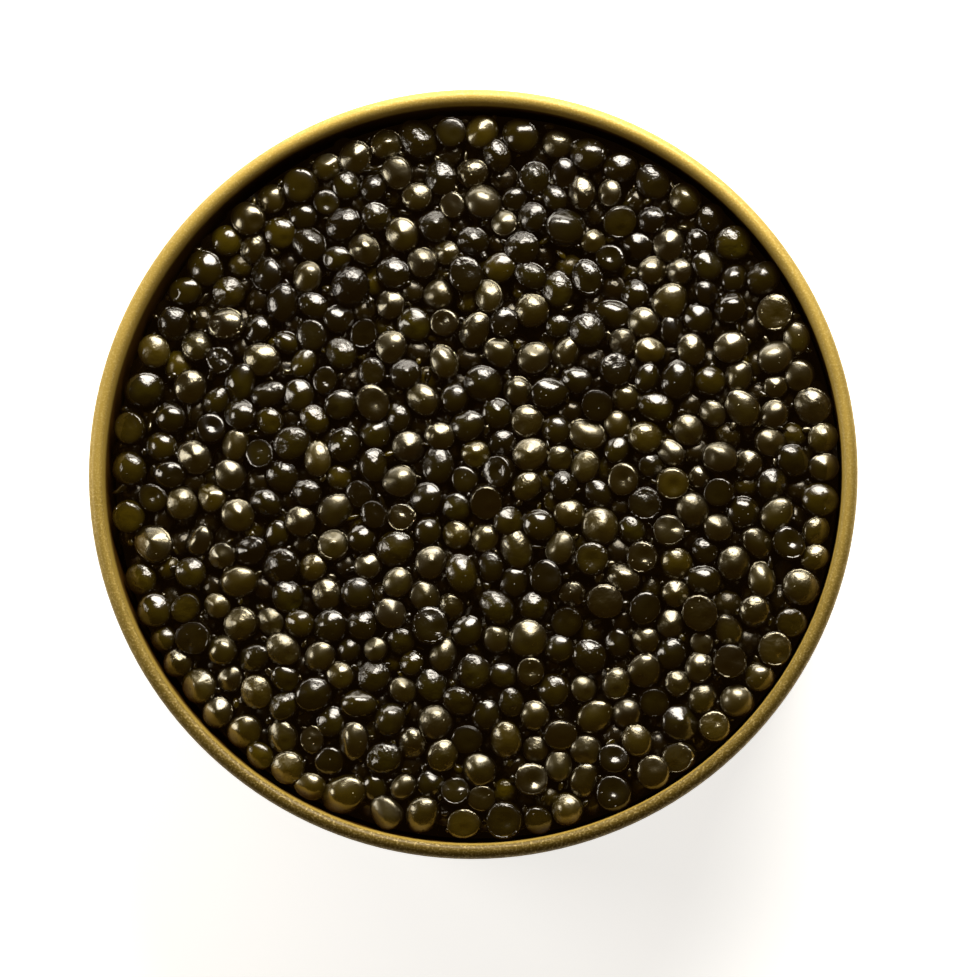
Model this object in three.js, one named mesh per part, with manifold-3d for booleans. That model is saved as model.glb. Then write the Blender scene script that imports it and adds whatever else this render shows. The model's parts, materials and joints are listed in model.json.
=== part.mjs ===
// An open round tin of caviar: a gold-lacquered tinplate pan with a rolled rim,
// filled to just under that rim with large sturgeon roe.
// Millimetres, +Z up. The origin is the middle of the tin's underside.

import * as THREE from "three";
import { mergeVertices } from "three/addons/utils/BufferGeometryUtils.js";
import Module from "manifold-3d";

const wasm = await Module();
wasm.setup();

// The tin, pressed from one sheet
const TIN_RADIUS = 40; // outside of the rolled rim
const TIN_HEIGHT = 26;
const PLATE = 0.25; // thickness of the lacquered tinplate
const CURL_RADIUS = 0.8; // outside of the roll, seen in section
const CURL_SWEEP = THREE.MathUtils.degToRad(290);
const CORNER_RADIUS = 2; // where the wall turns into the foot
const FOOT_WIDTH = 1.8; // flat ring that stands on the table
const PANEL_RISE = 0.8; // the base panel is pressed up from the foot
const PANEL_STEP = 1.2; // how far the slope between panel and foot runs
const TIN_SIDES = 48;
const CURL_STEPS = 8;
const CORNER_STEPS = 3;

// The roe
const WALL_CLEARANCE = 0.3;
const ROE_LEVEL = TIN_HEIGHT - 3.6; // height of the top layer's middles
const CORE_CHAMFER = 2.4;
const CORE_SIDES = 40;
const EGG_COUNT = 396;
const EGG_RADIUS = 1.6;
const EGG_RADIUS_SPREAD = 0.32; // the largest differ from the middle size by about this much
const EGG_SQUASH = 0.14; // the most oval eggs are this much narrower than long
const EGG_SIDES = 6;
const EGG_SHOULDER = THREE.MathUtils.degToRad(44); // latitude of the ring between waist and top
const EGG_SINK = 0.25; // how far an egg's foot reaches into the core
const LIFT_SPREAD = 0.3; // height differences between neighbours
const SWELL_HEIGHT = 0.16; // slow waves across the whole surface
const SWELL_LENGTH = 21;
const LOW_BEARING = THREE.MathUtils.degToRad(118); // on this side the roe stands off the wall
const LOW_FADE = 1.5; // how fast that dies away to both sides
const LOW_GAP = 0.75;
const LOW_DROP = 0.45;
const LOW_WIDTH = 5; // the sunken strip along the wall
const GAP_TRIES = 24;
const PUSH_ROUNDS = 160;
const LAYOUT_SEED = 20011;

// The linear congruential generator of Numerical Recipes, exact in double precision
function seededRandom(seed) {
  let state = seed;
  return () => {
    state = (1664525 * state + 1013904223) % 4294967296;
    return state / 4294967296;
  };
}

// Points of an arc in the section plane, without its first point
function arc(centreX, centreZ, radius, from, to, steps) {
  return Array.from({ length: steps }, (_, i) => {
    const angle = THREE.MathUtils.lerp(from, to, (i + 1) / steps);
    return new THREE.Vector2(
      centreX + radius * Math.cos(angle),
      centreZ + radius * Math.sin(angle),
    );
  });
}

// The middle line of the sheet, from the axis out along the base, up the wall and round the rim
function sheetLine() {
  const curlX = TIN_RADIUS - CURL_RADIUS;
  const curlZ = TIN_HEIGHT - CURL_RADIUS;
  const curl = CURL_RADIUS - PLATE / 2;
  const wallX = curlX - curl;
  const footZ = PLATE / 2;
  const footOuter = wallX - CORNER_RADIUS;
  const footInner = footOuter - FOOT_WIDTH;
  return [
    new THREE.Vector2(0, footZ + PANEL_RISE),
    new THREE.Vector2(footInner - PANEL_STEP, footZ + PANEL_RISE),
    new THREE.Vector2(footInner, footZ),
    new THREE.Vector2(footOuter, footZ),
    ...arc(footOuter, footZ + CORNER_RADIUS, CORNER_RADIUS, -Math.PI / 2, 0, CORNER_STEPS),
    new THREE.Vector2(wallX, curlZ),
    ...arc(curlX, curlZ, curl, Math.PI, Math.PI - CURL_SWEEP, CURL_STEPS),
  ];
}

// The line moved sideways by distance, to the right of its direction, with mitred corners
function offsetLine(line, distance) {
  return line.map((point, i) => {
    const before = point.clone().sub(line[Math.max(i - 1, 0)]);
    const after = line[Math.min(i + 1, line.length - 1)].clone().sub(point);
    const ways = [before, after].filter((way) => way.length() > 0).map((way) => way.normalize());
    const along = ways.reduce((sum, way) => sum.clone().add(way)).normalize();
    const mitre = distance / along.dot(ways[0]);
    return new THREE.Vector2(point.x + along.y * mitre, point.y - along.x * mitre);
  });
}

function turned(profile, sides) {
  return new THREE.LatheGeometry(profile, sides).rotateX(Math.PI / 2);
}

function tinGeometry() {
  const line = sheetLine();
  const under = offsetLine(line, PLATE / 2);
  const inside = offsetLine(line, -PLATE / 2).reverse();
  return turned([...under, ...inside], TIN_SIDES);
}

// From 0 to 1: how much the roe has drawn back from the wall in the direction of (x, y)
function lowSide(x, y) {
  return Math.max(0, Math.cos(Math.atan2(y, x) - LOW_BEARING)) ** LOW_FADE;
}

// Keeps an egg inside the ring that the wall leaves it
function fenceIn(egg) {
  const wall = TIN_RADIUS - 2 * CURL_RADIUS - WALL_CLEARANCE;
  const reach = wall - egg.radius - LOW_GAP * lowSide(egg.x, egg.y);
  const distance = Math.hypot(egg.x, egg.y);
  if (distance > reach) {
    egg.x *= reach / distance;
    egg.y *= reach / distance;
  }
}

// The roomiest of several random places beside the eggs that are already there
function placeEgg(radius, placed, random) {
  let best = null;
  let bestRoom = -Infinity;
  for (let i = 0; i < GAP_TRIES; i++) {
    const distance = TIN_RADIUS * Math.sqrt(random());
    const angle = 2 * Math.PI * random();
    const egg = { x: distance * Math.cos(angle), y: distance * Math.sin(angle), radius };
    fenceIn(egg);
    let room = Infinity;
    for (const other of placed) {
      const gap = Math.hypot(egg.x - other.x, egg.y - other.y) - radius - other.radius;
      room = Math.min(room, gap);
    }
    if (room > bestRoom) {
      bestRoom = room;
      best = egg;
    }
  }
  return best;
}

// One round of moving overlapping eggs apart
function pushApart(eggs) {
  const moves = eggs.map(() => [0, 0]);
  for (let i = 0; i < eggs.length; i++) {
    for (let j = i + 1; j < eggs.length; j++) {
      const dx = eggs[i].x - eggs[j].x;
      const dy = eggs[i].y - eggs[j].y;
      const distance = Math.hypot(dx, dy);
      const overlap = eggs[i].radius + eggs[j].radius - distance;
      if (overlap > 0) {
        const push = overlap / distance / 2;
        moves[i][0] += dx * push;
        moves[i][1] += dy * push;
        moves[j][0] -= dx * push;
        moves[j][1] -= dy * push;
      }
    }
  }
  eggs.forEach((egg, i) => {
    egg.x += moves[i][0];
    egg.y += moves[i][1];
    fenceIn(egg);
  });
}

// The top layer: the largest eggs are placed first, then all settle side by side
function layEggs() {
  const random = seededRandom(LAYOUT_SEED);
  const radii = Array.from({ length: EGG_COUNT }, () => {
    const bell = random() + random() + random() - 1.5;
    return EGG_RADIUS + EGG_RADIUS_SPREAD * bell;
  });
  radii.sort((a, b) => b - a);
  const eggs = [];
  for (const radius of radii) eggs.push(placeEgg(radius, eggs, random));
  for (let round = 0; round < PUSH_ROUNDS; round++) pushApart(eggs);
  for (const egg of eggs) {
    const toWall = TIN_RADIUS - Math.hypot(egg.x, egg.y);
    const drop = LOW_DROP * lowSide(egg.x, egg.y) * Math.max(0, 1 - toWall / LOW_WIDTH);
    const swell = Math.sin((2 * Math.PI * egg.x) / SWELL_LENGTH);
    const cross = Math.cos((2 * Math.PI * egg.y) / SWELL_LENGTH);
    egg.lift = SWELL_HEIGHT * swell * cross + LIFT_SPREAD * (2 * random() - 1) - drop;
    egg.squash = 1 - EGG_SQUASH * random();
    egg.turn = Math.PI * random();
  }
  return eggs;
}

// An egg down to its waist, with a short foot below ROE_LEVEL
function eggGeometry({ x, y, radius, lift, squash, turn }) {
  const profile = [
    new THREE.Vector2(0, -EGG_SINK),
    new THREE.Vector2(radius, -EGG_SINK),
    new THREE.Vector2(radius * Math.cos(EGG_SHOULDER), lift + radius * Math.sin(EGG_SHOULDER)),
    new THREE.Vector2(0, lift + radius),
  ];
  return turned(profile, EGG_SIDES)
    .scale(1, squash, 1)
    .rotateZ(turn)
    .translate(x, y, ROE_LEVEL);
}

function coreGeometry() {
  const radius = TIN_RADIUS - 2 * CURL_RADIUS - WALL_CLEARANCE;
  const bottom = PANEL_RISE + PLATE + WALL_CLEARANCE;
  const profile = [
    new THREE.Vector2(0, bottom),
    new THREE.Vector2(radius - CORE_CHAMFER, bottom),
    new THREE.Vector2(radius, bottom + CORE_CHAMFER),
    new THREE.Vector2(radius, ROE_LEVEL),
    new THREE.Vector2(0, ROE_LEVEL),
  ];
  return turned(profile, CORE_SIDES);
}

function solidOf(geometry) {
  const bare = new THREE.BufferGeometry();
  bare.setAttribute("position", geometry.toNonIndexed().getAttribute("position"));
  const merged = mergeVertices(bare);
  const vertProperties = merged.getAttribute("position").array;
  const triVerts = new Uint32Array(merged.index.array);
  return new wasm.Manifold(new wasm.Mesh({ numProp: 3, vertProperties, triVerts }));
}

function geometryOf(solid) {
  const { vertProperties, triVerts } = solid.getMesh();
  const geometry = new THREE.BufferGeometry();
  geometry.setAttribute("position", new THREE.BufferAttribute(vertProperties, 3));
  geometry.setIndex(new THREE.BufferAttribute(triVerts, 1));
  return geometry;
}

function roeGeometry() {
  let heap = solidOf(coreGeometry());
  for (const egg of layEggs()) heap = heap.add(solidOf(eggGeometry(egg)));
  return geometryOf(heap);
}

function piece(name, geometry, material) {
  const mesh = new THREE.Mesh(geometry, new THREE.MeshStandardMaterial(material));
  mesh.name = name;
  mesh.material.name = name;
  return mesh;
}

const goldLacquer = { color: 0xc9a75a, roughness: 0.38, metalness: 1 };
const wetRoe = { color: 0x2b2308, roughness: 0.18, metalness: 0 };

const caviarTin = new THREE.Group();
caviarTin.add(piece("tin", tinGeometry(), goldLacquer));
caviarTin.add(piece("roe", roeGeometry(), wetRoe));

export default caviarTin;
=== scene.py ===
# %% [markdown]
# # An open tin of caviar
# The object is a shallow round tin with a rolled rim, lacquered gold, filled to just under that
# rim with large sturgeon roe. Seen from above it is a thin gold ring around some four hundred
# wet, nearly black beads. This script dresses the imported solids: it loads them as a fixed frame,
# sets up the camera and the light, and then builds the tin and the roe at their true size.

# %% Load the frame
import json
import math

import bpy
import numpy as np
from mathutils import Matrix, Vector

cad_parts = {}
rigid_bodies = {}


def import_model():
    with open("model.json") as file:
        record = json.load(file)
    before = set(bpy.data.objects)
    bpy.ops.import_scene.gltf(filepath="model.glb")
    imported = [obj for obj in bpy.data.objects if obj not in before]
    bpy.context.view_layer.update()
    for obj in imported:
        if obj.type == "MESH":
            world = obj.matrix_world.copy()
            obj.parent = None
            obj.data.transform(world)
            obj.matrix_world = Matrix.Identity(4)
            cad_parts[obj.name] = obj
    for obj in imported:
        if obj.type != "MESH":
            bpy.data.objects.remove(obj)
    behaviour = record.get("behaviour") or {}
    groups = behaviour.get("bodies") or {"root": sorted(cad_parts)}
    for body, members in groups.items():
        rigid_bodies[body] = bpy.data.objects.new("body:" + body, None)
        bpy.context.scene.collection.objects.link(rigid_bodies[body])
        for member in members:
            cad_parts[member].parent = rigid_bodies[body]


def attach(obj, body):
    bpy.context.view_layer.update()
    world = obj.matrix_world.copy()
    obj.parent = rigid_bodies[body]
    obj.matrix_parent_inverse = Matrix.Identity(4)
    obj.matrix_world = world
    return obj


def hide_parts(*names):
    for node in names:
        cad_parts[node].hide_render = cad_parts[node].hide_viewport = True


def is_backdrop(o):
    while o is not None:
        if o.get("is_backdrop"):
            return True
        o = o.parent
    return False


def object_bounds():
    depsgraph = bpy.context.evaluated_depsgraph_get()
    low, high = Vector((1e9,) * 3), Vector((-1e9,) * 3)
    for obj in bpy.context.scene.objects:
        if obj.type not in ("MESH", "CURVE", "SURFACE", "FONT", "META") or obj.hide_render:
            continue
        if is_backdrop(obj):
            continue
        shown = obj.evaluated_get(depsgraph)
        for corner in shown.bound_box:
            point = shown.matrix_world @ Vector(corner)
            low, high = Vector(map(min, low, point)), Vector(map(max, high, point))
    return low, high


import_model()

MM = 0.001
cad_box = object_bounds()

# %% [markdown]
# ## Camera
# The photograph looks almost straight down into the tin. Its frame is a square of 977 pixels, and
# the outline of the rim is a circle 769.4 of them across, centred on pixel (473.2, 474.2). More
# of the inner wall shows at the left and the far side, so the camera stands a little to the right
# and to the near side. The parts of the rim that are nearer to it look a little larger, and so
# the middle of the rim lies 2.4 pixels left of and 1.8 above the middle of its outline, and its
# width is 772 pixels where the camera sees it straight on. A long lens from 0.45 m keeps that
# difference as small as it is in the photograph.

# %% Make the camera
PIXELS = 977
RIM_PIXELS = 772.0
RIM_CENTRE = (470.8, 472.4)
RIM_WIDTH = 80 * MM
RIM_HEIGHT = 25.96 * MM
CAMERA_DISTANCE = 0.45
LEAN_RIGHT, LEAN_NEAR = math.radians(3.4), math.radians(2.6)

pixel = RIM_WIDTH / RIM_PIXELS
camera_data = bpy.data.cameras.new("camera")
camera_data.lens = camera_data.sensor_width * CAMERA_DISTANCE / (PIXELS * pixel)
camera_data.clip_start = 0.01
camera = bpy.data.objects.new("camera", camera_data)
bpy.context.scene.collection.objects.link(camera)
bpy.context.scene.camera = camera

back = Vector((math.sin(LEAN_RIGHT), -math.sin(LEAN_NEAR), 1)).normalized()
right = Vector((0, 1, 0)).cross(back).normalized()
up = back.cross(right)
camera.rotation_euler = Matrix((right, up, back)).transposed().to_euler()
aim = Vector((0, 0, RIM_HEIGHT))
aim += right * (PIXELS / 2 - RIM_CENTRE[0]) * pixel - up * (PIXELS / 2 - RIM_CENTRE[1]) * pixel
camera.location = aim + back * CAMERA_DISTANCE
print("lens", round(camera_data.lens, 1), "mm; one pixel is", round(pixel / MM, 4), "mm")

# %% [markdown]
# ## Light
# Every bead mirrors what stands around the tin. On a ball seen from above, a light at elevation e
# shows where the surface leans (90 - e) / 2 degrees towards it, so the highlights give the places
# of the lights. The main one is an oval window behind the tin, 37 degrees up. On the far side of
# the tin its image lies nearer to the middle of the beads, and the rim is much brighter there
# than on the near side, so the window stands close. A small one on the left adds the second
# blob that many beads show on that side, and a long strip low behind the tin draws the thin
# lines along their far edges. The room itself adds no more than a dim amber.

# %% Place the lights
LIGHTS = (
    # name, shape, azimuth, elevation, distance, width, height, radiance
    ("window", "ELLIPSE", -12, 37, 0.165, 0.157, 0.071, 21.5),
    ("side_window", "ELLIPSE", 88, 24, 0.12, 0.05, 0.034, 10),
    ("bright_wall", "RECTANGLE", 8, 9, 0.16, 0.32, 0.042, 8),
)
LIGHT_COLOUR = (1.0, 0.97, 0.92)
LIT_SPOT = Vector((0, 0, 24 * MM))  # the middle of the roe's top, which every light faces
ROOM_COLOUR = (1.0, 0.55, 0.05, 1)
ROOM_STRENGTH = 0.065


def soft_light(name, shape, azimuth, elevation, distance, width, height, radiance):
    """A panel that faces the tin. Azimuth 0 is behind it and 90 to its left."""
    turn, rise = math.radians(azimuth), math.radians(elevation)
    level = math.cos(rise)
    away = Vector((-math.sin(turn) * level, math.cos(turn) * level, math.sin(rise)))
    data = bpy.data.lights.new(name, "AREA")
    data.shape = shape
    data.size, data.size_y = width, height
    area = width * height * (math.pi / 4 if shape == "ELLIPSE" else 1)
    data.energy = radiance * math.pi * area
    data.color = LIGHT_COLOUR
    lamp = bpy.data.objects.new(name, data)
    bpy.context.scene.collection.objects.link(lamp)
    lamp.location = LIT_SPOT + away * distance
    lamp.rotation_euler = away.to_track_quat("Z", "Y").to_euler()
    lamp.visible_camera = False
    print(name, "fills", round(area / distance**2, 2), "steradians at radiance", radiance)


for light in LIGHTS:
    soft_light(*light)

world = bpy.data.worlds.new("room")
world.use_nodes = True
background = world.node_tree.nodes["Background"]
background.inputs["Color"].default_value = ROOM_COLOUR
background.inputs["Strength"].default_value = ROOM_STRENGTH
bpy.context.scene.world = world
bpy.context.scene.view_settings.view_transform = "Standard"

# %% [markdown]
# ## Shader sums
# A finish is a chain of small nodes. Written out one by one they hide the idea, so two small
# classes do the wiring: a Wire is a socket that can be added, multiplied and so on, and a Finish
# makes any node from its type, its settings and its sockets.

# %% Wires and finishes
class Wire:
    """A node's output that takes part in sums."""

    def __init__(self, finish, socket):
        self.finish, self.socket = finish, socket

    def sum(self, operation, left, right):
        return self.finish.node("ShaderNodeMath", {"operation": operation}, {0: left, 1: right})

    def __add__(self, other):
        return self.sum("ADD", self, other)

    def __radd__(self, other):
        return self.sum("ADD", other, self)

    def __sub__(self, other):
        return self.sum("SUBTRACT", self, other)

    def __mul__(self, other):
        return self.sum("MULTIPLY", self, other)

    def __rmul__(self, other):
        return self.sum("MULTIPLY", other, self)


class Finish:
    """A material on one Principled shader, whose fixed values are set straight on its sockets."""

    def __init__(self, name, **fixed):
        self.material = bpy.data.materials.new(name)
        self.material.use_nodes = True
        self.tree = self.material.node_tree
        self.shader = self.tree.nodes["Principled BSDF"]
        for socket, value in fixed.items():
            name = socket.replace("_", " ").title().replace("Ior", "IOR")
            self.shader.inputs[name].default_value = value

    def node(self, kind, settings=(), sockets=(), output=0):
        """A new node with those properties and inputs, as the wire from one of its outputs."""
        made = self.tree.nodes.new(kind)
        for name, value in dict(settings).items():
            setattr(made, name, value)
        for name, value in dict(sockets).items():
            if isinstance(value, Wire):
                self.tree.links.new(value.socket, made.inputs[name])
            else:
                made.inputs[name].default_value = value
        return Wire(self, made.outputs[output])

    def place(self):
        return self.node("ShaderNodeTexCoord", output="Object")

    def noise(self, scale, detail=2.0, roughness=0.5):
        sockets = {"Vector": self.place(), "Scale": scale, "Detail": detail, "Roughness": roughness}
        return self.node("ShaderNodeTexNoise", sockets=sockets)

    def between(self, value, low, high, out_low=0.0, out_high=1.0):
        """Where the value lies between low and high, smoothed, from out_low to out_high."""
        sockets = {"Value": value, 1: low, 2: high, 3: out_low, 4: out_high}
        return self.node("ShaderNodeMapRange", {"interpolation_type": "SMOOTHSTEP"}, sockets)

    def blend(self, factor, first, second):
        """A mix of two colours, for which the node keeps inputs 6 and 7 and output 2."""
        sockets = {0: factor, 6: first, 7: second}
        return self.node("ShaderNodeMix", {"data_type": "RGBA"}, sockets, 2)

    def attribute(self, name, output="Fac"):
        return self.node("ShaderNodeAttribute", {"attribute_name": name}, output=output)

    def feed(self, socket, wire):
        self.tree.links.new(wire.socket, self.shader.inputs[socket])

    def bump(self, height, distance, strength=1.0, onto=None):
        """A bumped normal, on top of another one if that is given."""
        sockets = {"Height": height, "Distance": distance, "Strength": strength}
        if onto:
            sockets["Normal"] = onto
        return self.node("ShaderNodeBump", sockets=sockets)


# %% [markdown]
# ## Floor
# The photograph is a cut-out on white. A plain, pale, matt sheet under the tin gives the same
# ground. It is lit a little from below, like the milky glass of a light table, so that the tin's
# shadow stays nearly as white as the rest.

# %% Lay the floor
FLOOR_WIDTH = 8

floor_finish = Finish("milky_glass", roughness=0.9, emission_strength=0.88)
mottle = floor_finish.noise(6, 3)
milk = floor_finish.blend(mottle, (0.86, 0.86, 0.85, 1), (0.9, 0.9, 0.89, 1))
floor_finish.feed("Base Color", milk)
floor_finish.feed("Emission Color", milk)


def deselect():
    if bpy.context.object and bpy.context.object.mode != "OBJECT":
        bpy.ops.object.mode_set(mode="OBJECT")
    bpy.ops.object.select_all(action="DESELECT")


deselect()
bpy.ops.mesh.primitive_plane_add(size=FLOOR_WIDTH)
floor = bpy.context.object
floor.name = "floor"
floor.data.materials.append(floor_finish.material)
floor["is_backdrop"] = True

# %% [markdown]
# ## The tin
# The real tin is pressed from one round blank of tinplate: the base keeps a raised panel with a
# flat foot ring around it, the wall rises straight from a rounded corner, and the edge is rolled
# outwards into a bead that shows as the gold ring. It could be joined from a cylinder and a
# torus, but the sheet runs through all of it in one piece, so here the section of the sheet is
# drawn as one line of edges, and that line is spun about the axis and given its thickness.

# %% Draw the section of the sheet
PLATE = 0.25 * MM
CURL = 0.8 * MM
SWEEP = math.radians(290)
CURL_SIDES = 36
WALL_STEPS = 6
CORNER = 2 * MM
CORNER_STEPS = 6
FOOT_WIDTH = 1.8 * MM
PANEL_RISE = 0.8 * MM
PANEL_STEP = 1.2 * MM
PANEL_RINGS = (0.5, 0.8, 1.0)  # each one's share of the way from the panel's edge to its middle
CLOSE = 0.01 * MM  # near enough to be the point that is looked for
ANGLE_MARGIN = 1e-4
curl_centre = Vector((RIM_WIDTH / 2 - CURL, 0, RIM_HEIGHT - CURL))
curl_radius = CURL - PLATE / 2
wall_x = curl_centre.x - curl_radius


def pick(piece, test, mode="VERT"):
    """Enters edit mode with just those vertices or faces selected whose middle passes the test."""
    bpy.ops.object.mode_set(mode="EDIT")
    bpy.ops.mesh.select_mode(type=mode)
    bpy.ops.mesh.select_all(action="DESELECT")
    bpy.ops.object.mode_set(mode="OBJECT")
    parts = piece.data.vertices if mode == "VERT" else piece.data.polygons
    for part in parts:
        part.select = bool(test(part.co if mode == "VERT" else part.center))
    bpy.ops.object.mode_set(mode="EDIT")


def draw_on(*move):
    """Extrudes what is selected by a move in millimetres."""
    bpy.ops.mesh.extrude_region_move(TRANSFORM_OT_translate={"value": Vector(move) * MM})


deselect()
bpy.ops.mesh.primitive_circle_add(
    vertices=CURL_SIDES, radius=curl_radius, location=curl_centre, rotation=(math.pi / 2, 0, 0)
)
tin = bpy.context.object
tin.name = "tin_body"
bpy.ops.object.transform_apply()


def in_open_part(point):
    """The curl stops short of the wall: its last 70 degrees, low on the wall's side, are open."""
    angle = math.atan2(point.z - curl_centre.z, point.x - curl_centre.x)
    return -math.pi + ANGLE_MARGIN < angle < math.pi - SWEEP - ANGLE_MARGIN


pick(tin, in_open_part)
bpy.ops.mesh.delete(type="VERT")
pick(tin, lambda p: p.x < wall_x + CLOSE and abs(p.z - curl_centre.z) < CLOSE)
wall_drop = curl_centre.z - CORNER - PLATE / 2
for _ in range(WALL_STEPS):
    draw_on(0, 0, -wall_drop / WALL_STEPS / MM)
corner_centre = (wall_x - CORNER, 0, PLATE / 2 + CORNER)
bpy.ops.mesh.spin(
    steps=CORNER_STEPS, angle=-math.pi / 2, axis=(0, 1, 0), center=corner_centre
)
print("section drawn with", len(tin.data.vertices), "points before the foot")

# %% Turn the base inwards
draw_on(-FOOT_WIDTH / MM, 0, 0)
draw_on(-PANEL_STEP / MM, 0, PANEL_RISE / MM)
foot_inner = wall_x - CORNER - FOOT_WIDTH
for ring in PANEL_RINGS:
    bpy.ops.object.mode_set(mode="OBJECT")
    last = tin.data.vertices[-1].co.x
    bpy.ops.object.mode_set(mode="EDIT")
    draw_on(((foot_inner - PANEL_STEP) * (1 - ring) - last) / MM, 0, 0)
bpy.ops.object.mode_set(mode="OBJECT")
section = np.array([v.co[:] for v in tin.data.vertices]) / MM
print("section spans", section.min(0).round(2), section.max(0).round(2))

# %% Spin it into a pan
TIN_STEPS = 160
MERGE_DISTANCE = 0.005 * MM  # the spin ends where it began, and its last points are the first
TIN_SMOOTH_ANGLE = math.radians(40)

bpy.ops.object.mode_set(mode="EDIT")
bpy.ops.mesh.select_all(action="SELECT")
bpy.ops.mesh.spin(steps=TIN_STEPS, angle=2 * math.pi, axis=(0, 0, 1), center=(0, 0, 0))
bpy.ops.mesh.select_all(action="SELECT")
bpy.ops.mesh.remove_doubles(threshold=MERGE_DISTANCE)
bpy.ops.mesh.normals_make_consistent(inside=False)
bpy.ops.object.mode_set(mode="OBJECT")
sheet = tin.modifiers.new("sheet", "SOLIDIFY")
sheet.thickness = PLATE
sheet.offset = 0
sheet.use_even_offset = True
bpy.ops.object.modifier_apply(modifier=sheet.name)
bpy.ops.object.shade_smooth_by_angle(angle=TIN_SMOOTH_ANGLE)
tin_size = [round(v / MM, 2) for v in tin.dimensions]
print("tin_body:", len(tin.data.polygons), "faces, size", tin_size)

# %% [markdown]
# ## Gold lacquer
# The tinplate is printed with a satin gold lacquer. Under a lens it is not even: it has a fine
# grain that sparkles and slow clouds where it went on thinner. Towards the near side the gold is
# painted darker and browner as a whole: that is painted shade. Inside, the wall is painted
# brighter just below the rim, which is painted light, and darker and browner down towards the
# roe, partly a stain where the roe has touched it and partly painted shade in the gap above the
# roe. A metallic shader with a grainy bump below a thin clear coat gives the satin; the clouds,
# the specks, the painted light and shade and the stain only change its colour and its roughness.

# %% Mix the lacquer
# Each pair of places says where a change begins and where it is complete.
INTO_WALL = 38.62 * MM, 38.42 * MM  # through the sheet, from its outside to its inside
ABOVE_BASE = 6 * MM, 9 * MM
DOWN_TO_ROE = 25.0 * MM, 23.4 * MM
FAR_TO_NEAR = 14 * MM, -30 * MM
CLOUD_SHIFT = 12 * MM  # how far the clouds move the change from far to near
GRAINS, CLOUDS = 4400, 160  # in a metre
DEEP_GOLD, PALE_GOLD = (0.33, 0.23, 0.043, 1), (0.48, 0.345, 0.083, 1)
# The next colour is painted shade: the gold turns to it towards the near side.
NEAR_SHADE_GOLD = (0.135, 0.088, 0.013, 1)
SPARKLE = (0.6, 0.47, 0.19, 1)
# Inside the wall: painted light just below the rim, then a brown towards the roe that is partly a
# stain of the roe and partly painted shade.
PAINTED_LIT_GOLD, STAIN_AND_SHADE_GOLD = (0.5, 0.35, 0.07, 1), (0.1, 0.043, 0.005, 1)

lacquer = Finish("gold_lacquer", metallic=1.0, coat_weight=0.28, coat_roughness=0.33, coat_ior=1.5)
grain = lacquer.noise(GRAINS, 3, 0.6)
clouds = lacquer.noise(CLOUDS, 4, 0.55)
specks = lacquer.between(lacquer.noise(GRAINS, 2, 0.5), 0.45, 0.75)
without_height = {0: lacquer.place(), 1: (1, 1, 0)}
plan = lacquer.node("ShaderNodeVectorMath", {"operation": "MULTIPLY"}, without_height)
reach = lacquer.node("ShaderNodeVectorMath", {"operation": "LENGTH"}, {0: plan}, "Value")
height = lacquer.node("ShaderNodeSeparateXYZ", {}, {0: lacquer.place()}, "Z")
across = lacquer.node("ShaderNodeSeparateXYZ", {}, {0: lacquer.place()}, "Y")
inside = lacquer.between(reach, *INTO_WALL) * lacquer.between(height, *ABOVE_BASE)
# Down the inner wall towards the roe: partly a stain of the roe, partly painted shade.
stain_and_shade = lacquer.between(height, *DOWN_TO_ROE)
# Painted shade: the gold darkens and browns from the far side to the near side, with a cloudy
# border.
painted_near_shade = lacquer.between(across + clouds * CLOUD_SHIFT, *FAR_TO_NEAR)
gold = lacquer.blend(clouds, DEEP_GOLD, PALE_GOLD)
gold = lacquer.blend(painted_near_shade, gold, NEAR_SHADE_GOLD)
gold = lacquer.blend(specks * 0.45, gold, SPARKLE)
# Inside the wall: painted light at the top, lower down a brown that is stain and painted shade.
gold = lacquer.blend(inside, gold, lacquer.blend(stain_and_shade, PAINTED_LIT_GOLD, STAIN_AND_SHADE_GOLD))
lacquer.feed("Base Color", gold)
lacquer.feed("Roughness", 0.68 + clouds * 0.08 - specks * 0.08)
lacquer.feed("Normal", lacquer.bump(grain, 0.05 * MM, 0.8))
tin.data.materials.append(lacquer.material)
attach(tin, "root")
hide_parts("tin")

# %% [markdown]
# ## Where the eggs lie
# The tin was filled over the brim and levelled, so the top layer lies side by side at nearly one
# height, with the sizes mixed. The layout follows the same rule as the solids: the largest eggs
# are placed first, each in the roomiest of a few random spots, and then all push each other
# apart until they only touch. The same seed gives the same places, so every egg here stands on
# its own solid dome.

# %% Lay out the top layer
# All lengths of the layout are in millimetres.
TIN_RADIUS = 40
ROE_LEVEL = 22.4  # height of the top layer's middles
ROE_REACH = 38.1  # distance from the axis to which the roe fills the tin
EGG_COUNT = 396
EGG_RADIUS = 1.6
EGG_RADIUS_SPREAD = 0.32
EGG_SQUASH = 0.14  # the most oval eggs are this much narrower than long
LIFT_SPREAD = 0.3  # height differences between neighbours
SWELL_HEIGHT = 0.16  # slow waves across the whole surface
SWELL_LENGTH = 21
LOW_BEARING = math.radians(118)  # on this side the roe stands off the wall
LOW_FADE = 1.5  # how fast that dies away to both sides
LOW_GAP = 0.75
LOW_DROP = 0.45
LOW_WIDTH = 5  # the sunken strip along the wall
GAP_TRIES = 24
PUSH_ROUNDS = 160
LAYOUT_SEED = 20011
FAR = 1e9  # farther than anything is


def seeded(seed):
    """Random numbers from 0 to 1, the same ones that the solids were laid out with."""
    state = seed
    while True:
        state = (1664525 * state + 1013904223) % 4294967296
        yield state / 4294967296


def low_side(spots):
    """From 0 to 1: how much the roe has drawn back from the wall in that direction."""
    turn = np.arctan2(spots[..., 1], spots[..., 0]) - LOW_BEARING
    return np.maximum(0, np.cos(turn)) ** LOW_FADE


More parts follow.
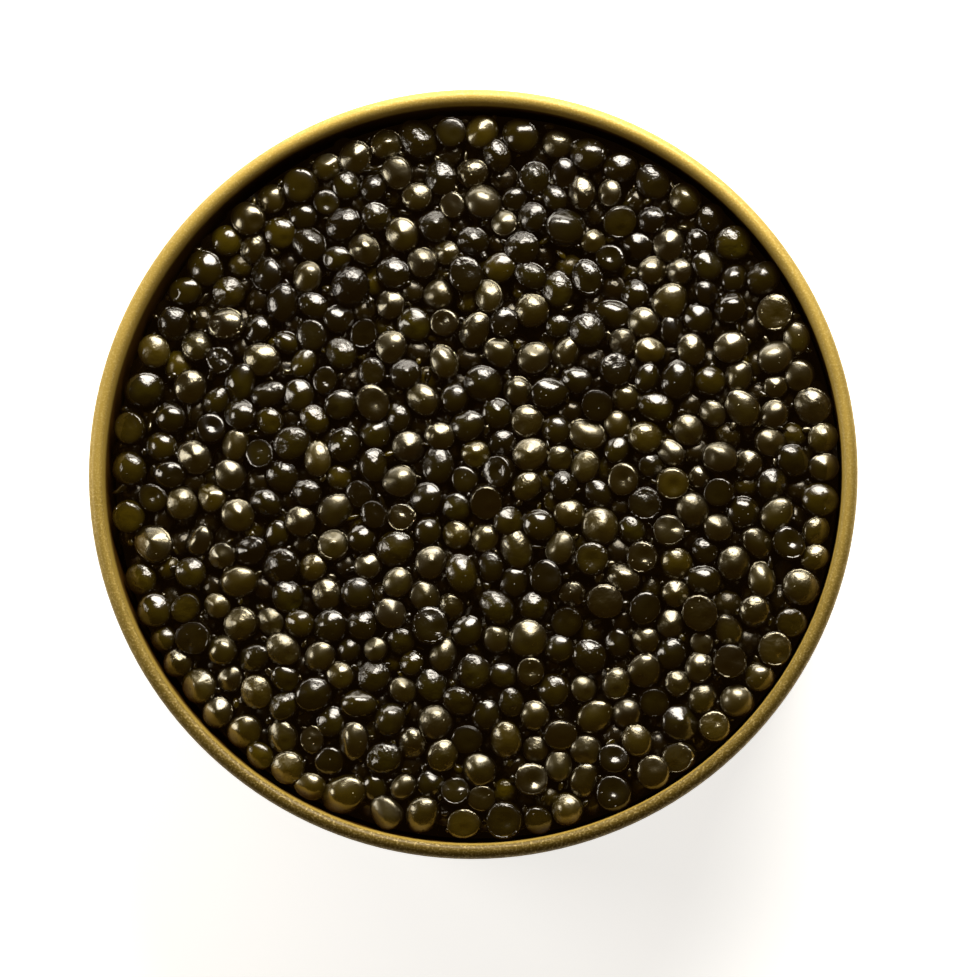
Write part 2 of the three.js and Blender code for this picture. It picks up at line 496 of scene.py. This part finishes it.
def fence_in(spots, radii):
    """The spots, with those that lie too near the wall moved inwards."""
    limit = ROE_REACH - radii - LOW_GAP * low_side(spots)
    distance = np.maximum(np.hypot(spots[..., 0], spots[..., 1]), 1e-9)
    return spots * np.minimum(1, limit / distance)[..., None]


chance = seeded(LAYOUT_SEED)
bells = [next(chance) + next(chance) + next(chance) - 1.5 for _ in range(EGG_COUNT)]
radii = -np.sort(-(EGG_RADIUS + EGG_RADIUS_SPREAD * np.array(bells)))
spots = np.zeros((EGG_COUNT, 2))
for n, radius in enumerate(radii):
    tries = []
    for _ in range(GAP_TRIES):
        distance = TIN_RADIUS * math.sqrt(next(chance))
        angle = 2 * math.pi * next(chance)
        tries.append((distance * math.cos(angle), distance * math.sin(angle)))
    tries = fence_in(np.array(tries), radius)
    gaps = np.linalg.norm(tries[:, None] - spots[None, :n], axis=2) - radius - radii[:n]
    spots[n] = tries[gaps.min(1).argmax()] if n else tries[0]
for _ in range(PUSH_ROUNDS):
    apart = spots[:, None] - spots[None]
    distance = np.linalg.norm(apart, axis=2) + FAR * np.eye(EGG_COUNT)
    overlap = np.maximum(0, radii[:, None] + radii[None] - distance)
    spots = fence_in(spots + (apart * (overlap / distance / 2)[..., None]).sum(1), radii)

to_wall = TIN_RADIUS - np.hypot(spots[:, 0], spots[:, 1])
drop = LOW_DROP * low_side(spots) * np.maximum(0, 1 - to_wall / LOW_WIDTH)
swell = SWELL_HEIGHT * np.sin(2 * math.pi * spots[:, 0] / SWELL_LENGTH)
swell *= np.cos(2 * math.pi * spots[:, 1] / SWELL_LENGTH)
draws = np.array([[next(chance) for _ in range(3)] for _ in range(EGG_COUNT)])
levels = ROE_LEVEL + (swell + LIFT_SPREAD * (2 * draws[:, 0] - 1) - drop)
squash = 1 - EGG_SQUASH * draws[:, 1]
turn = math.pi * draws[:, 2]
smallest, largest = radii.min().round(2), radii.max().round(2)
print("top layer:", EGG_COUNT, "eggs of", smallest, "to", largest, "mm radius")

# %% [markdown]
# ## Eggs below the gaps
# Between the eggs of the top layer lie dark gaps, and in most of them the shoulder of a lower
# egg catches a little light. To find their places, many random spots are tried: at each, an egg
# is let down until it rests against the top ones from below, and the spots where it comes
# highest are kept, as long as they leave room for each other.

# %% Find the second layer
DICE_SEED = 417
LOW_TRIES = 9000
LOW_RADII = (1.3, 1.7)
# How far apart the middles of two eggs are that touch, as a share of their radii
PRESSED, LOW_PRESSED = 0.87, 0.88
HIGHEST, DEEPEST = ROE_LEVEL - 0.8, ROE_LEVEL - 2.9
dice = np.random.default_rng(DICE_SEED)


def scattered(ways, reach):
    """Random spots in those directions, spread evenly over a disc of that reach."""
    out = reach * np.sqrt(dice.random(len(ways)))
    return out[:, None] * np.stack([np.cos(ways), np.sin(ways)], 1)


ways = 2 * math.pi * dice.random(LOW_TRIES)
low_radii = dice.uniform(*LOW_RADII, LOW_TRIES)
low_spots = scattered(ways, ROE_REACH - low_radii)
away = np.linalg.norm(low_spots[:, None] - spots[None], axis=2)
touch = PRESSED * (low_radii[:, None] + radii[None])
hang = np.sqrt(np.maximum(0, touch**2 - away**2))
rest = np.minimum(np.where(away < touch, levels[None] - hang, FAR).min(1), HIGHEST)
kept = []
for n in np.argsort(-rest):
    if rest[n] < DEEPEST:
        break
    here = np.array([*low_spots[n], rest[n]])
    if kept:
        others = np.array([[*low_spots[k], rest[k]] for k in kept])
        needed = LOW_PRESSED * (low_radii[n] + low_radii[kept])
        if (np.linalg.norm(others - here, axis=1) < needed).any():
            continue
    kept.append(n)
below = rest[kept] - ROE_LEVEL
print("second layer:", len(kept), "eggs,", below.max().round(2), "to", below.min().round(2), "mm")

# %% [markdown]
# ## Shapes of egg
# Ripe eggs are soft balls. Those that carry nothing are nearly round; those that the lid has
# pressed have a flat top with a tight shoulder, which draws the mirrored window out into a thin
# line along their edge; and where the skin has slackened there is a dimple, whose near slope
# throws a second small highlight. Each shape is drawn up ring by ring from a circle at its
# waist, the more boxy the flatter on top, and is then stretched and dented.

# %% Model one egg of each shape
EGG = EGG_RADIUS * MM
# Everything below is in radii of the egg.
WAIST = 0.97
RINGS = (1.0, 0.985, 0.95, 0.89, 0.76, 0.57, 0.37, 0.17)
TUCK = 0.35  # how far the shoulder comes down to the waist
UNDER_DEPTH, UNDER_WIDTH, FOOT_DEPTH = 0.5, 0.8, 0.3
SAME_PLACE = 1e-7  # in metres: two points closer than this are one


def dome(out, drop, power, shoulder):
    """How high an egg's top is at that distance from its middle, all in radii."""
    low = drop * min(out, shoulder) ** power
    if out > shoulder:
        low += drop * power * shoulder ** (power - 1) * (out - shoulder)
        low += TUCK * (1 - math.sqrt(1 - ((out - shoulder) / (1 - shoulder)) ** 2))
    return 1 - low


def dent(egg, azimuth, out, depth, size):
    """Presses down the point of the top that is nearest to a spot, and with it what is around."""
    angle = math.radians(azimuth)
    spot = Vector((math.cos(angle), math.sin(angle))) * out * EGG
    top = [v.co for v in egg.data.vertices if v.co.z > 0.2 * EGG]
    nearest = min(top, key=lambda p: (p.xy - spot).length).copy()
    pick(egg, lambda p: (p - nearest).length < SAME_PLACE)
    bpy.ops.transform.translate(
        value=(0, 0, -depth * EGG),
        use_proportional_edit=True,
        proportional_edit_falloff="SMOOTH",
        proportional_size=size * EGG,
    )


def resize(x, y):
    bpy.ops.transform.resize(value=(x, y, 1), center_override=(0, 0, 0))


def model_egg(name, drop, power, shoulder=0.89, stretch=1.0, dents=(), sides=16, rings=RINGS):
    """Points in radii and faces of one shape, and how near the egg's edge each point lies."""
    deselect()
    bpy.ops.mesh.primitive_circle_add(vertices=sides, radius=WAIST * EGG)
    egg = bpy.context.object
    egg.name = name
    bpy.ops.object.mode_set(mode="EDIT")
    wide, high = WAIST, 0.0
    for ring in rings:
        level = dome(ring, drop, power, shoulder)
        draw_on(0, 0, (level - high) * EGG / MM)
        resize(ring / wide, ring / wide)
        wide, high = ring, level
    draw_on(0, 0, (1 - high) * EGG / MM)
    bpy.ops.mesh.merge(type="CENTER")
    pick(egg, lambda p: p.z < SAME_PLACE)
    draw_on(0, 0, -UNDER_DEPTH * EGG / MM)
    resize(UNDER_WIDTH, UNDER_WIDTH)
    draw_on(0, 0, -FOOT_DEPTH * EGG / MM)
    bpy.ops.mesh.merge(type="CENTER")
    pick(egg, lambda p: p.x > 0.02 * EGG)
    resize(stretch, 1)
    brink = [
        min(1, v.co.xy.length / EGG) if v.co.z > -SAME_PLACE else 1.0 for v in egg.data.vertices
    ]
    for place in dents:
        dent(egg, *place)
    pick(egg, lambda p: True)
    bpy.ops.mesh.normals_make_consistent(inside=False)
    deselect()
    points = np.array([v.co[:] for v in egg.data.vertices]) / EGG
    faces = [tuple(p.vertices) for p in egg.data.polygons]
    bpy.data.objects.remove(egg)
    print(name, len(faces), "faces, spans", points.min(0).round(2), points.max(0).round(2))
    return points, faces, np.array(brink)


# Each row: drop, power, shoulder, stretch, and dents by azimuth, distance out, depth and size
SHAPES = {
    "round": model_egg("round", 0.5, 2.0),
    "plump": model_egg("plump", 0.47, 1.55, 0.89, 1.03, ((200, 0.5, 0.04, 0.6),)),
    "peaked": model_egg("peaked", 0.5, 1.32, 0.89, 1.0, ((60, 0.6, 0.05, 0.6),)),
    "pressed": model_egg("pressed", 0.2, 2.5, 0.9, 1.0, ((300, 0.4, 0.07, 0.5),)),
    "flat": model_egg("flat", 0.1, 2.6, 0.91, 1.04, ((280, 0.3, 0.1, 0.45),)),
    "oval": model_egg("oval", 0.46, 1.8, 0.88, 1.14, ((80, 0.8, 0.05, 0.7),)),
    "pear": model_egg("pear", 0.5, 1.8, 0.88, 1.3, ((150, 0.85, 0.15, 0.8),)),
    "dimpled": model_egg("dimpled", 0.12, 2.5, 0.9, 1.0, ((270, 0.25, 0.2, 0.6),)),
    "pitted": model_egg(
        "pitted", 0.1, 3.0, 0.91, 1.03, ((230, 0.5, 0.15, 0.5), (330, 0.55, 0.11, 0.4))
    ),
    "slack": model_egg("slack", 0.4, 2.0, 0.88, 1.06, ((190, 0.5, 0.18, 0.5),)),
}

# %% [markdown]
# ## Copies of the eggs
# A copy takes its size, its turn and its squash from the layout. It also leans a little, and
# slow waves of its own run over it, so that no two eggs throw the same highlight. All copies of
# one shape are joined in one mesh, which keeps a few numbers for the finish on every point: how
# dark the egg is, partly its own tone and partly painted light and shade across the heap; how
# much amber it has, partly its own tone and partly a painted glow from the bright wall; how
# wrinkled its skin is, how thick the brine stands round its edge, how satin the skin has dried,
# and where on its own egg the point lies. The satin number also picks one of two skins for the
# whole egg.

# %% Copy and join
SOFTNESS = 1.05  # soft eggs press into each other, so they are a little wider than their places
LEAN = 6  # degrees
WAVE_COUNT = 4
WAVE_TURNS = (1.6, 3.4)  # radians in a radius of the egg
EGG_WAVES, DROP_WAVES = 0.05, 0.4
MARKS = ("shade", "amber", "wrinkle", "brine", "satin", "brink")
SATIN_MARK = MARKS.index("satin")
SATIN_FROM = 0.35  # eggs whose satin mark is above this get the satin skin


def egg_copy(points, middle, size, width, turned, waves):
    """One egg's points in metres, and the same points in radii from its middle."""
    ball = points.copy()
    for _ in range(WAVE_COUNT):
        along = dice.normal(size=3)
        along *= dice.uniform(*WAVE_TURNS) / np.linalg.norm(along)
        swing = waves * dice.random()
        wave = np.sin(ball @ along + 2 * math.pi * dice.random())
        ball *= 1 + swing * wave[:, None]
    ball[:, :2] *= SOFTNESS * np.array([width**-0.5, width**0.5])
    lean = Matrix.Rotation(math.radians(dice.normal(0, LEAN)), 3, "X")
    lean = lean @ Matrix.Rotation(math.radians(dice.normal(0, LEAN)), 3, "Y")
    ball = ball @ np.array(lean @ Matrix.Rotation(turned, 3, "Z")).T
    return (ball * size + middle) * MM, ball


def join_eggs(name, shape_of, places, sizes, widths, turns, marks, waves=EGG_WAVES):
    """Joined copies: shape_of names each copy's shape, marks holds its numbers for the finish."""
    points, own_places, brinks, faces, numbers, skins = [], [], [], [], [], []
    start = 0
    for n, shape in enumerate(shape_of):
        shape_points, shape_faces, brink = SHAPES[shape]
        placed, ball = egg_copy(shape_points, places[n], sizes[n], widths[n], turns[n], waves)
        points.append(placed)
        own_places.append(ball)
        brinks.append(brink)
        faces += [tuple(i + start for i in face) for face in shape_faces]
        numbers.append(np.repeat(marks[n][None], len(placed), 0))
        skins += [int(marks[n][SATIN_MARK] > SATIN_FROM)] * len(shape_faces)
        start += len(placed)
    mesh = bpy.data.meshes.new(name)
    mesh.from_pydata(np.concatenate(points).tolist(), [], faces)
    mesh.polygons.foreach_set("use_smooth", [True] * len(faces))
    mesh.polygons.foreach_set("material_index", skins)
    columns = np.column_stack([np.concatenate(numbers), np.concatenate(brinks)])
    for column, mark in enumerate(MARKS):
        layer = mesh.attributes.new(mark, "FLOAT", "POINT")
        layer.data.foreach_set("value", columns[:, column].astype(np.float32))
    layer = mesh.attributes.new("own_place", "FLOAT_VECTOR", "POINT")
    layer.data.foreach_set("vector", np.concatenate(own_places).astype(np.float32).ravel())
    piece = bpy.data.objects.new(name, mesh)
    bpy.context.scene.collection.objects.link(piece)
    print(name, len(shape_of), "eggs,", sum(len(f) - 2 for f in faces), "triangles")
    return piece


# %% Choose a shape and a look for every egg
LONG_BELOW = 0.895  # eggs narrower than this are long ones
LONG = {"oval": 0.55, "pear": 0.25, "slack": 0.2}
OTHERS = {
    "round": 0.2, "plump": 0.27, "peaked": 0.25, "pressed": 0.09, "flat": 0.04, "dimpled": 0.06,
    "pitted": 0.04, "slack": 0.05
}
FLAT_TOPPED = ("pressed", "flat", "pitted", "dimpled")
HEAP_RADIUS = 38
WALL_GLOW_BEARING = math.radians(190)  # bearing of the bright part of the wall, whose light is painted onto the eggs beside it

rightness, farness = spots.T / HEAP_RADIUS  # from -1 to 1 across the heap
bearing = np.arctan2(spots[:, 1], spots[:, 0])
near_wall = np.clip(1 - (to_wall - 3) / 4, 0, 1)
painted_wall_glow = np.clip(np.cos(bearing - WALL_GLOW_BEARING) + 0.3, 0, 1)
# The random part is each egg's own tone; the steady change across the heap makes eggs on the near
# side paler and those on the far side darker, which is painted light and shade.
shade = np.clip(dice.normal(0.5, 0.26, EGG_COUNT) - 0.4 * farness, 0, 1)
# Amber is partly the eggs' own tone, at random, and partly painted light: an amber glow on eggs
# beside the wall, strongest at its bright part.
amber = dice.random(EGG_COUNT) ** 5 * 0.6
amber += (0.3 + 0.6 * painted_wall_glow) * near_wall * dice.random(EGG_COUNT)
wrinkle = dice.random(EGG_COUNT) ** 1.4
brine = np.clip(dice.uniform(-0.4, 1.1, EGG_COUNT), 0, 1)
shape_of = []
for n in range(EGG_COUNT):
    shares = LONG if squash[n] < LONG_BELOW else OTHERS
    shape_of.append(dice.choice(list(shares), p=list(shares.values())))
shape_of = np.array(shape_of)
flat_topped = np.isin(shape_of, FLAT_TOPPED)
shade = np.where(flat_topped, 0.5 * shade, shade)
rarer = 1.8 - 0.8 * rightness + 0.9 * farness
rarer *= np.where(shape_of == "peaked", 0.5, 1)
satin = dice.random(EGG_COUNT) ** rarer * np.where(flat_topped, 0.6, 1)
marks = np.stack([shade, np.clip(amber, 0, 1), wrinkle, brine, satin], 1)
middles = np.column_stack([spots, levels])
eggs = []
for shape in SHAPES:
    chosen = np.flatnonzero(shape_of == shape)
    eggs.append(join_eggs(
        "eggs_" + shape, shape_of[chosen], middles[chosen], radii[chosen], squash[chosen],
        turn[chosen], marks[chosen]
    ))

# %% Join the second layer
SHAPES["lower"] = model_egg("lower", 0.5, 1.8, 0.85, sides=10, rings=(1.0, 0.93, 0.8, 0.5, 0.25))
lows = len(kept)
low_middles = np.column_stack([low_spots[kept], rest[kept]])
low_marks = np.column_stack([
    dice.uniform(0.1, 0.6, lows), dice.random(lows) ** 8, dice.random(lows), dice.random(lows),
    dice.random(lows)
])
eggs.append(join_eggs(
    "eggs_lower", ["lower"] * lows, low_middles, low_radii[kept], dice.uniform(0.86, 1, lows),
    math.pi * dice.random(lows), low_marks
))

# %% [markdown]
# ## Drops between the eggs
# Brine hangs in the narrow places between the eggs, and shreds of skin lie in it. Each of these
# drops throws one small glint out of a dark gap. They are small balls, squashed and made uneven
# like the eggs, in random spots where the top layer leaves a little room.

# %% Hang the drops
DROP_TRIES = 5000
DROP_REACH = 37.4
DROP_ROOM = (0.12, 0.6)
DROPS_APART = 1.7
DROP_FLATNESS = 0.7

deselect()
bpy.ops.mesh.primitive_ico_sphere_add(subdivisions=2, radius=EGG)
ball = bpy.context.object
bpy.ops.object.mode_set(mode="EDIT")
bpy.ops.transform.resize(value=(1, 1, DROP_FLATNESS), center_override=(0, 0, 0))
deselect()
points = np.array([v.co[:] for v in ball.data.vertices]) / EGG
SHAPES["drop"] = points, [tuple(p.vertices) for p in ball.data.polygons], np.full(len(points), 0.5)
bpy.data.objects.remove(ball)

tries = scattered(2 * math.pi * dice.random(DROP_TRIES), DROP_REACH)
room = np.linalg.norm(tries[:, None] - spots[None], axis=2) - radii[None]
beside, room = room.argmin(1), room.min(1)
hung = []
for n in np.flatnonzero((room > DROP_ROOM[0]) & (room < DROP_ROOM[1])):
    if all(np.linalg.norm(tries[hung] - tries[n], axis=1) > DROPS_APART):
        hung.append(n)
drops = len(hung)
drop_level = levels[beside[hung]] + dice.uniform(-0.2, 0.6, drops)
drop_marks = np.column_stack([
    0.3 * dice.random(drops), dice.random(drops) ** 6, dice.random(drops), np.zeros(drops),
    dice.random(drops) ** 3
])
eggs.append(join_eggs(
    "brine_drops", ["drop"] * drops, np.column_stack([tries[hung], drop_level]),
    0.2 + 0.5 * room[hung], dice.uniform(0.4, 1, drops), math.pi * dice.random(drops), drop_marks,
    DROP_WAVES
))

# %% [markdown]
# ## The roe below
# Under the second layer nothing single can be made out any more. The rest of the filling is one
# body with the bumps of the eggs in its top, made from a disc: its top is divided finely and
# let down along the borders of cells that are as wide as an egg.

# %% Make the filling
CORE_SIDES = 128
CORE_HEIGHT, CORE_MIDDLE = 17.2 * MM, 10 * MM
CORE_TOP_FROM = 18 * MM  # only its top lies higher than this
RING_COUNT, RING_WIDTH = 24, 1.5 * MM
BUMPS_REACH = 37.5 * MM
CELL_WIDTH, CELL_DEPTH = 3.1 * MM, 1.2 * MM

deselect()
bpy.ops.mesh.primitive_cylinder_add(
    vertices=CORE_SIDES, radius=ROE_REACH * MM, depth=CORE_HEIGHT, location=(0, 0, CORE_MIDDLE)
)
core = bpy.context.object
core.name = "roe_core"
bpy.ops.object.transform_apply()
pick(core, lambda p: p.z > CORE_TOP_FROM, "FACE")
for _ in range(RING_COUNT):
    bpy.ops.mesh.inset(thickness=RING_WIDTH)
bpy.ops.object.mode_set(mode="OBJECT")
cells = bpy.data.textures.new("cells", "VORONOI")
cells.noise_scale = CELL_WIDTH
top = core.vertex_groups.new(name="top")
on_top = [
    v.index for v in core.data.vertices
    if v.co.z > CORE_TOP_FROM and v.co.xy.length < BUMPS_REACH
]
top.add(on_top, 1, "ADD")
bumps = core.modifiers.new("bumps", "DISPLACE")
bumps.texture = cells
bumps.texture_coords = "LOCAL"
bumps.direction = "Z"
bumps.mid_level = 0
bumps.strength = -CELL_DEPTH
bumps.vertex_group = "top"
bpy.ops.object.modifier_apply(modifier=bumps.name)
bpy.ops.object.shade_smooth_by_angle(angle=math.radians(50))
lowest = [round(v / MM, 2) for v in core.bound_box[0]]
print("roe_core:", len(core.data.polygons), "faces, from", lowest)

# %% [markdown]
# ## Skins of the eggs
# An egg is a dark yolk in a clear, tight skin. Some skins are wet and throw sharp, nearly white
# highlights, ragged where they are wrinkled; others have dried to a satin and throw a broad one,
# cream in the middle and golden round it. The yolk is the same in both: nearly black to olive and
# painted darker towards the egg's edge, which is painted shade. On the side away from the window
# it carries a painted glow, colour that stands in for light that went through it; some eggs are
# amber at random, and those at the bright wall carry an amber glow that is painted light; and a
# faint amber emission is painted light in its darkest tones. Only the base layer of the shader
# follows the bumps, so the wet skin has its sharp gloss there, with the film of brine as a faint,
# broad coat; the satin skin has a broad golden base under a sharp coat. The bumps are the
# wrinkles, tiny bubbles, and the bead of brine that stands round the edge of most eggs and shows
# as a second thin line of light. Eggs that lie deep in the brine shine less, and their yolk is
# darker and browner: the darkness is painted shade, the brown their own tone. What is the same for
# all eggs is a fixed value; their numbers mix the rest.

# %% Mix the egg's finish
# How many cells of each pattern fit in a metre
MOTTLE, GLOW_PATCHES, DRY_PATCHES, FILM_PATCHES, BEAD_BREAKS = 700, 420, 300, 240, 650
UNEVEN, WRINKLES, BUBBLES, PORES = 560, 1150, 1200, 3000
MOTTLE_COLOUR = (0.004, 0.0026, 0.0002, 1)
# A painted glow: colour that stands in for light that went through the egg, on its side away from
# the window.
PAINTED_GLOW_COLOUR = (0.034, 0.028, 0.001, 1)
# Amber: some eggs' own tone, and also the painted glow that the bright wall throws onto the eggs
# beside it.
AMBER_COLOUR = (0.044, 0.03, 0.0008, 1)
GLOW_SIDE = (0.2, -1, -0.1)  # away from the window
YOLK = (0.0016, 0.001, 0.0001, 1), (0.0158, 0.012, 0.0006, 1)
# The yolk of the eggs deep down and of the filling: its darkness is painted shade, its brown their
# own tone.
SHADED_BROWNISH_YOLK = (0.0045, 0.0024, 0.0002, 1), (0.0095, 0.006, 0.0004, 1)
# The coat's roughness, its least and its greatest weight, and how far the bumps stand out
WET = 0.33, (0.03, 0.12), 0.18 * MM
DRY = 0.1, (0.25, 0.5), 0.18 * MM * 0.7
# The pieces deep in the brine, which get the darker yolk of painted shade.
SHADED_DEEP_PIECES = ("eggs_lower", "roe_core")


def roe_finish(name, ior, tint, rough, coat, yolk):
    """An egg's skin: ior and tint colour its gloss, rough widens the highlight of its base."""
    film, film_weight, relief = coat
    # The faint amber emission is painted light: it lifts the yolk's darkest tones.
    roe = Finish(
        name, ior=ior, specular_tint=tint, coat_roughness=film, coat_ior=1.5,
        emission_color=(1.0, 0.42, 0.06, 1), emission_strength=0.0028
    )
    shade = roe.attribute("shade")
    # Painted shade: the yolk's colour darkens from the egg's middle towards its edge.
    painted_lit_middle = roe.between(roe.attribute("brink"), 1.0, 0.45)
    colour = roe.blend(shade * painted_lit_middle, *yolk)
    mottled = roe.between(roe.noise(MOTTLE), 0.4, 0.7)
    colour = roe.blend(mottled * 0.5, colour, MOTTLE_COLOUR)
    # Painted light: a glow on the side of the egg away from the window, on the palest eggs only.
    own = {0: roe.attribute("own_place", "Vector"), 1: GLOW_SIDE}
    through = roe.node("ShaderNodeVectorMath", {"operation": "DOT_PRODUCT"}, own, "Value")
    painted_glow = roe.between(through, -0.1, 0.9) * roe.between(roe.noise(GLOW_PATCHES), 0.35, 0.65)
    painted_glow = painted_glow * roe.between(shade, 0.55, 0.95)
    colour = roe.blend(painted_glow * painted_lit_middle, colour, PAINTED_GLOW_COLOUR)
    colour = roe.blend(roe.attribute("amber") * (0.4 + 0.6 * painted_lit_middle), colour, AMBER_COLOUR)
    roe.feed("Base Color", colour)
    dry = roe.between(roe.noise(DRY_PATCHES), 0.45, 0.7)
    roe.feed("Roughness", rough + 0.05 * dry + 0.14 * roe.attribute("satin"))
    roe.feed("Coat Weight", roe.between(roe.noise(FILM_PATCHES), 0.4, 0.65, *film_weight))
    standing = roe.between(roe.attribute("brink"), 0.86, 0.95) * roe.attribute("brine")
    bead = roe.bump(standing * roe.between(roe.noise(BEAD_BREAKS), 0.38, 0.5), 0.2 * MM)
    wrinkle = roe.attribute("wrinkle")
    folds = roe.noise(WRINKLES, 2) * wrinkle * 0.85
    folds = folds + roe.noise(PORES, 3, 0.55) * (0.08 + 0.22 * wrinkle)
    at_bubbles = {"Vector": roe.place(), "Scale": BUBBLES}
    bubble = roe.node("ShaderNodeTexVoronoi", sockets=at_bubbles)
    folds = folds + roe.noise(UNEVEN, 1) * 0.9 + roe.between(bubble, 0.15, 0.0) * 0.4
    roe.feed("Normal", roe.bump(folds, relief, onto=bead))
    return roe.material


wet_roe = roe_finish("wet_roe", 1.62, (1.0, 0.95, 0.88, 1), 0.11, WET, YOLK)
satin_roe = roe_finish("satin_roe", 1.87, (1.0, 0.88, 0.59, 1), 0.15, DRY, YOLK)
shaded_roe_in_brine = roe_finish("shaded_roe_in_brine", 1.42, (1.0, 0.9, 0.7, 1), 0.12, WET, SHADED_BROWNISH_YOLK)
for piece in (*eggs, core):
    deep = piece.name in SHADED_DEEP_PIECES
    for skin in (shaded_roe_in_brine, shaded_roe_in_brine) if deep else (wet_roe, satin_roe):
        piece.data.materials.append(skin)
    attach(piece, "root")
    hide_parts("roe")

# %% [markdown]
# ## Size
# The box of the solids and that of the dressed model are both printed. The dressed model has
# to stay inside the box of the solids.

# %% Print the sizes
seen_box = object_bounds()
for name, box in (("solids", cad_box), ("scene", seen_box)):
    print(name, [[round(v / MM, 3) for v in corner] for corner in box])
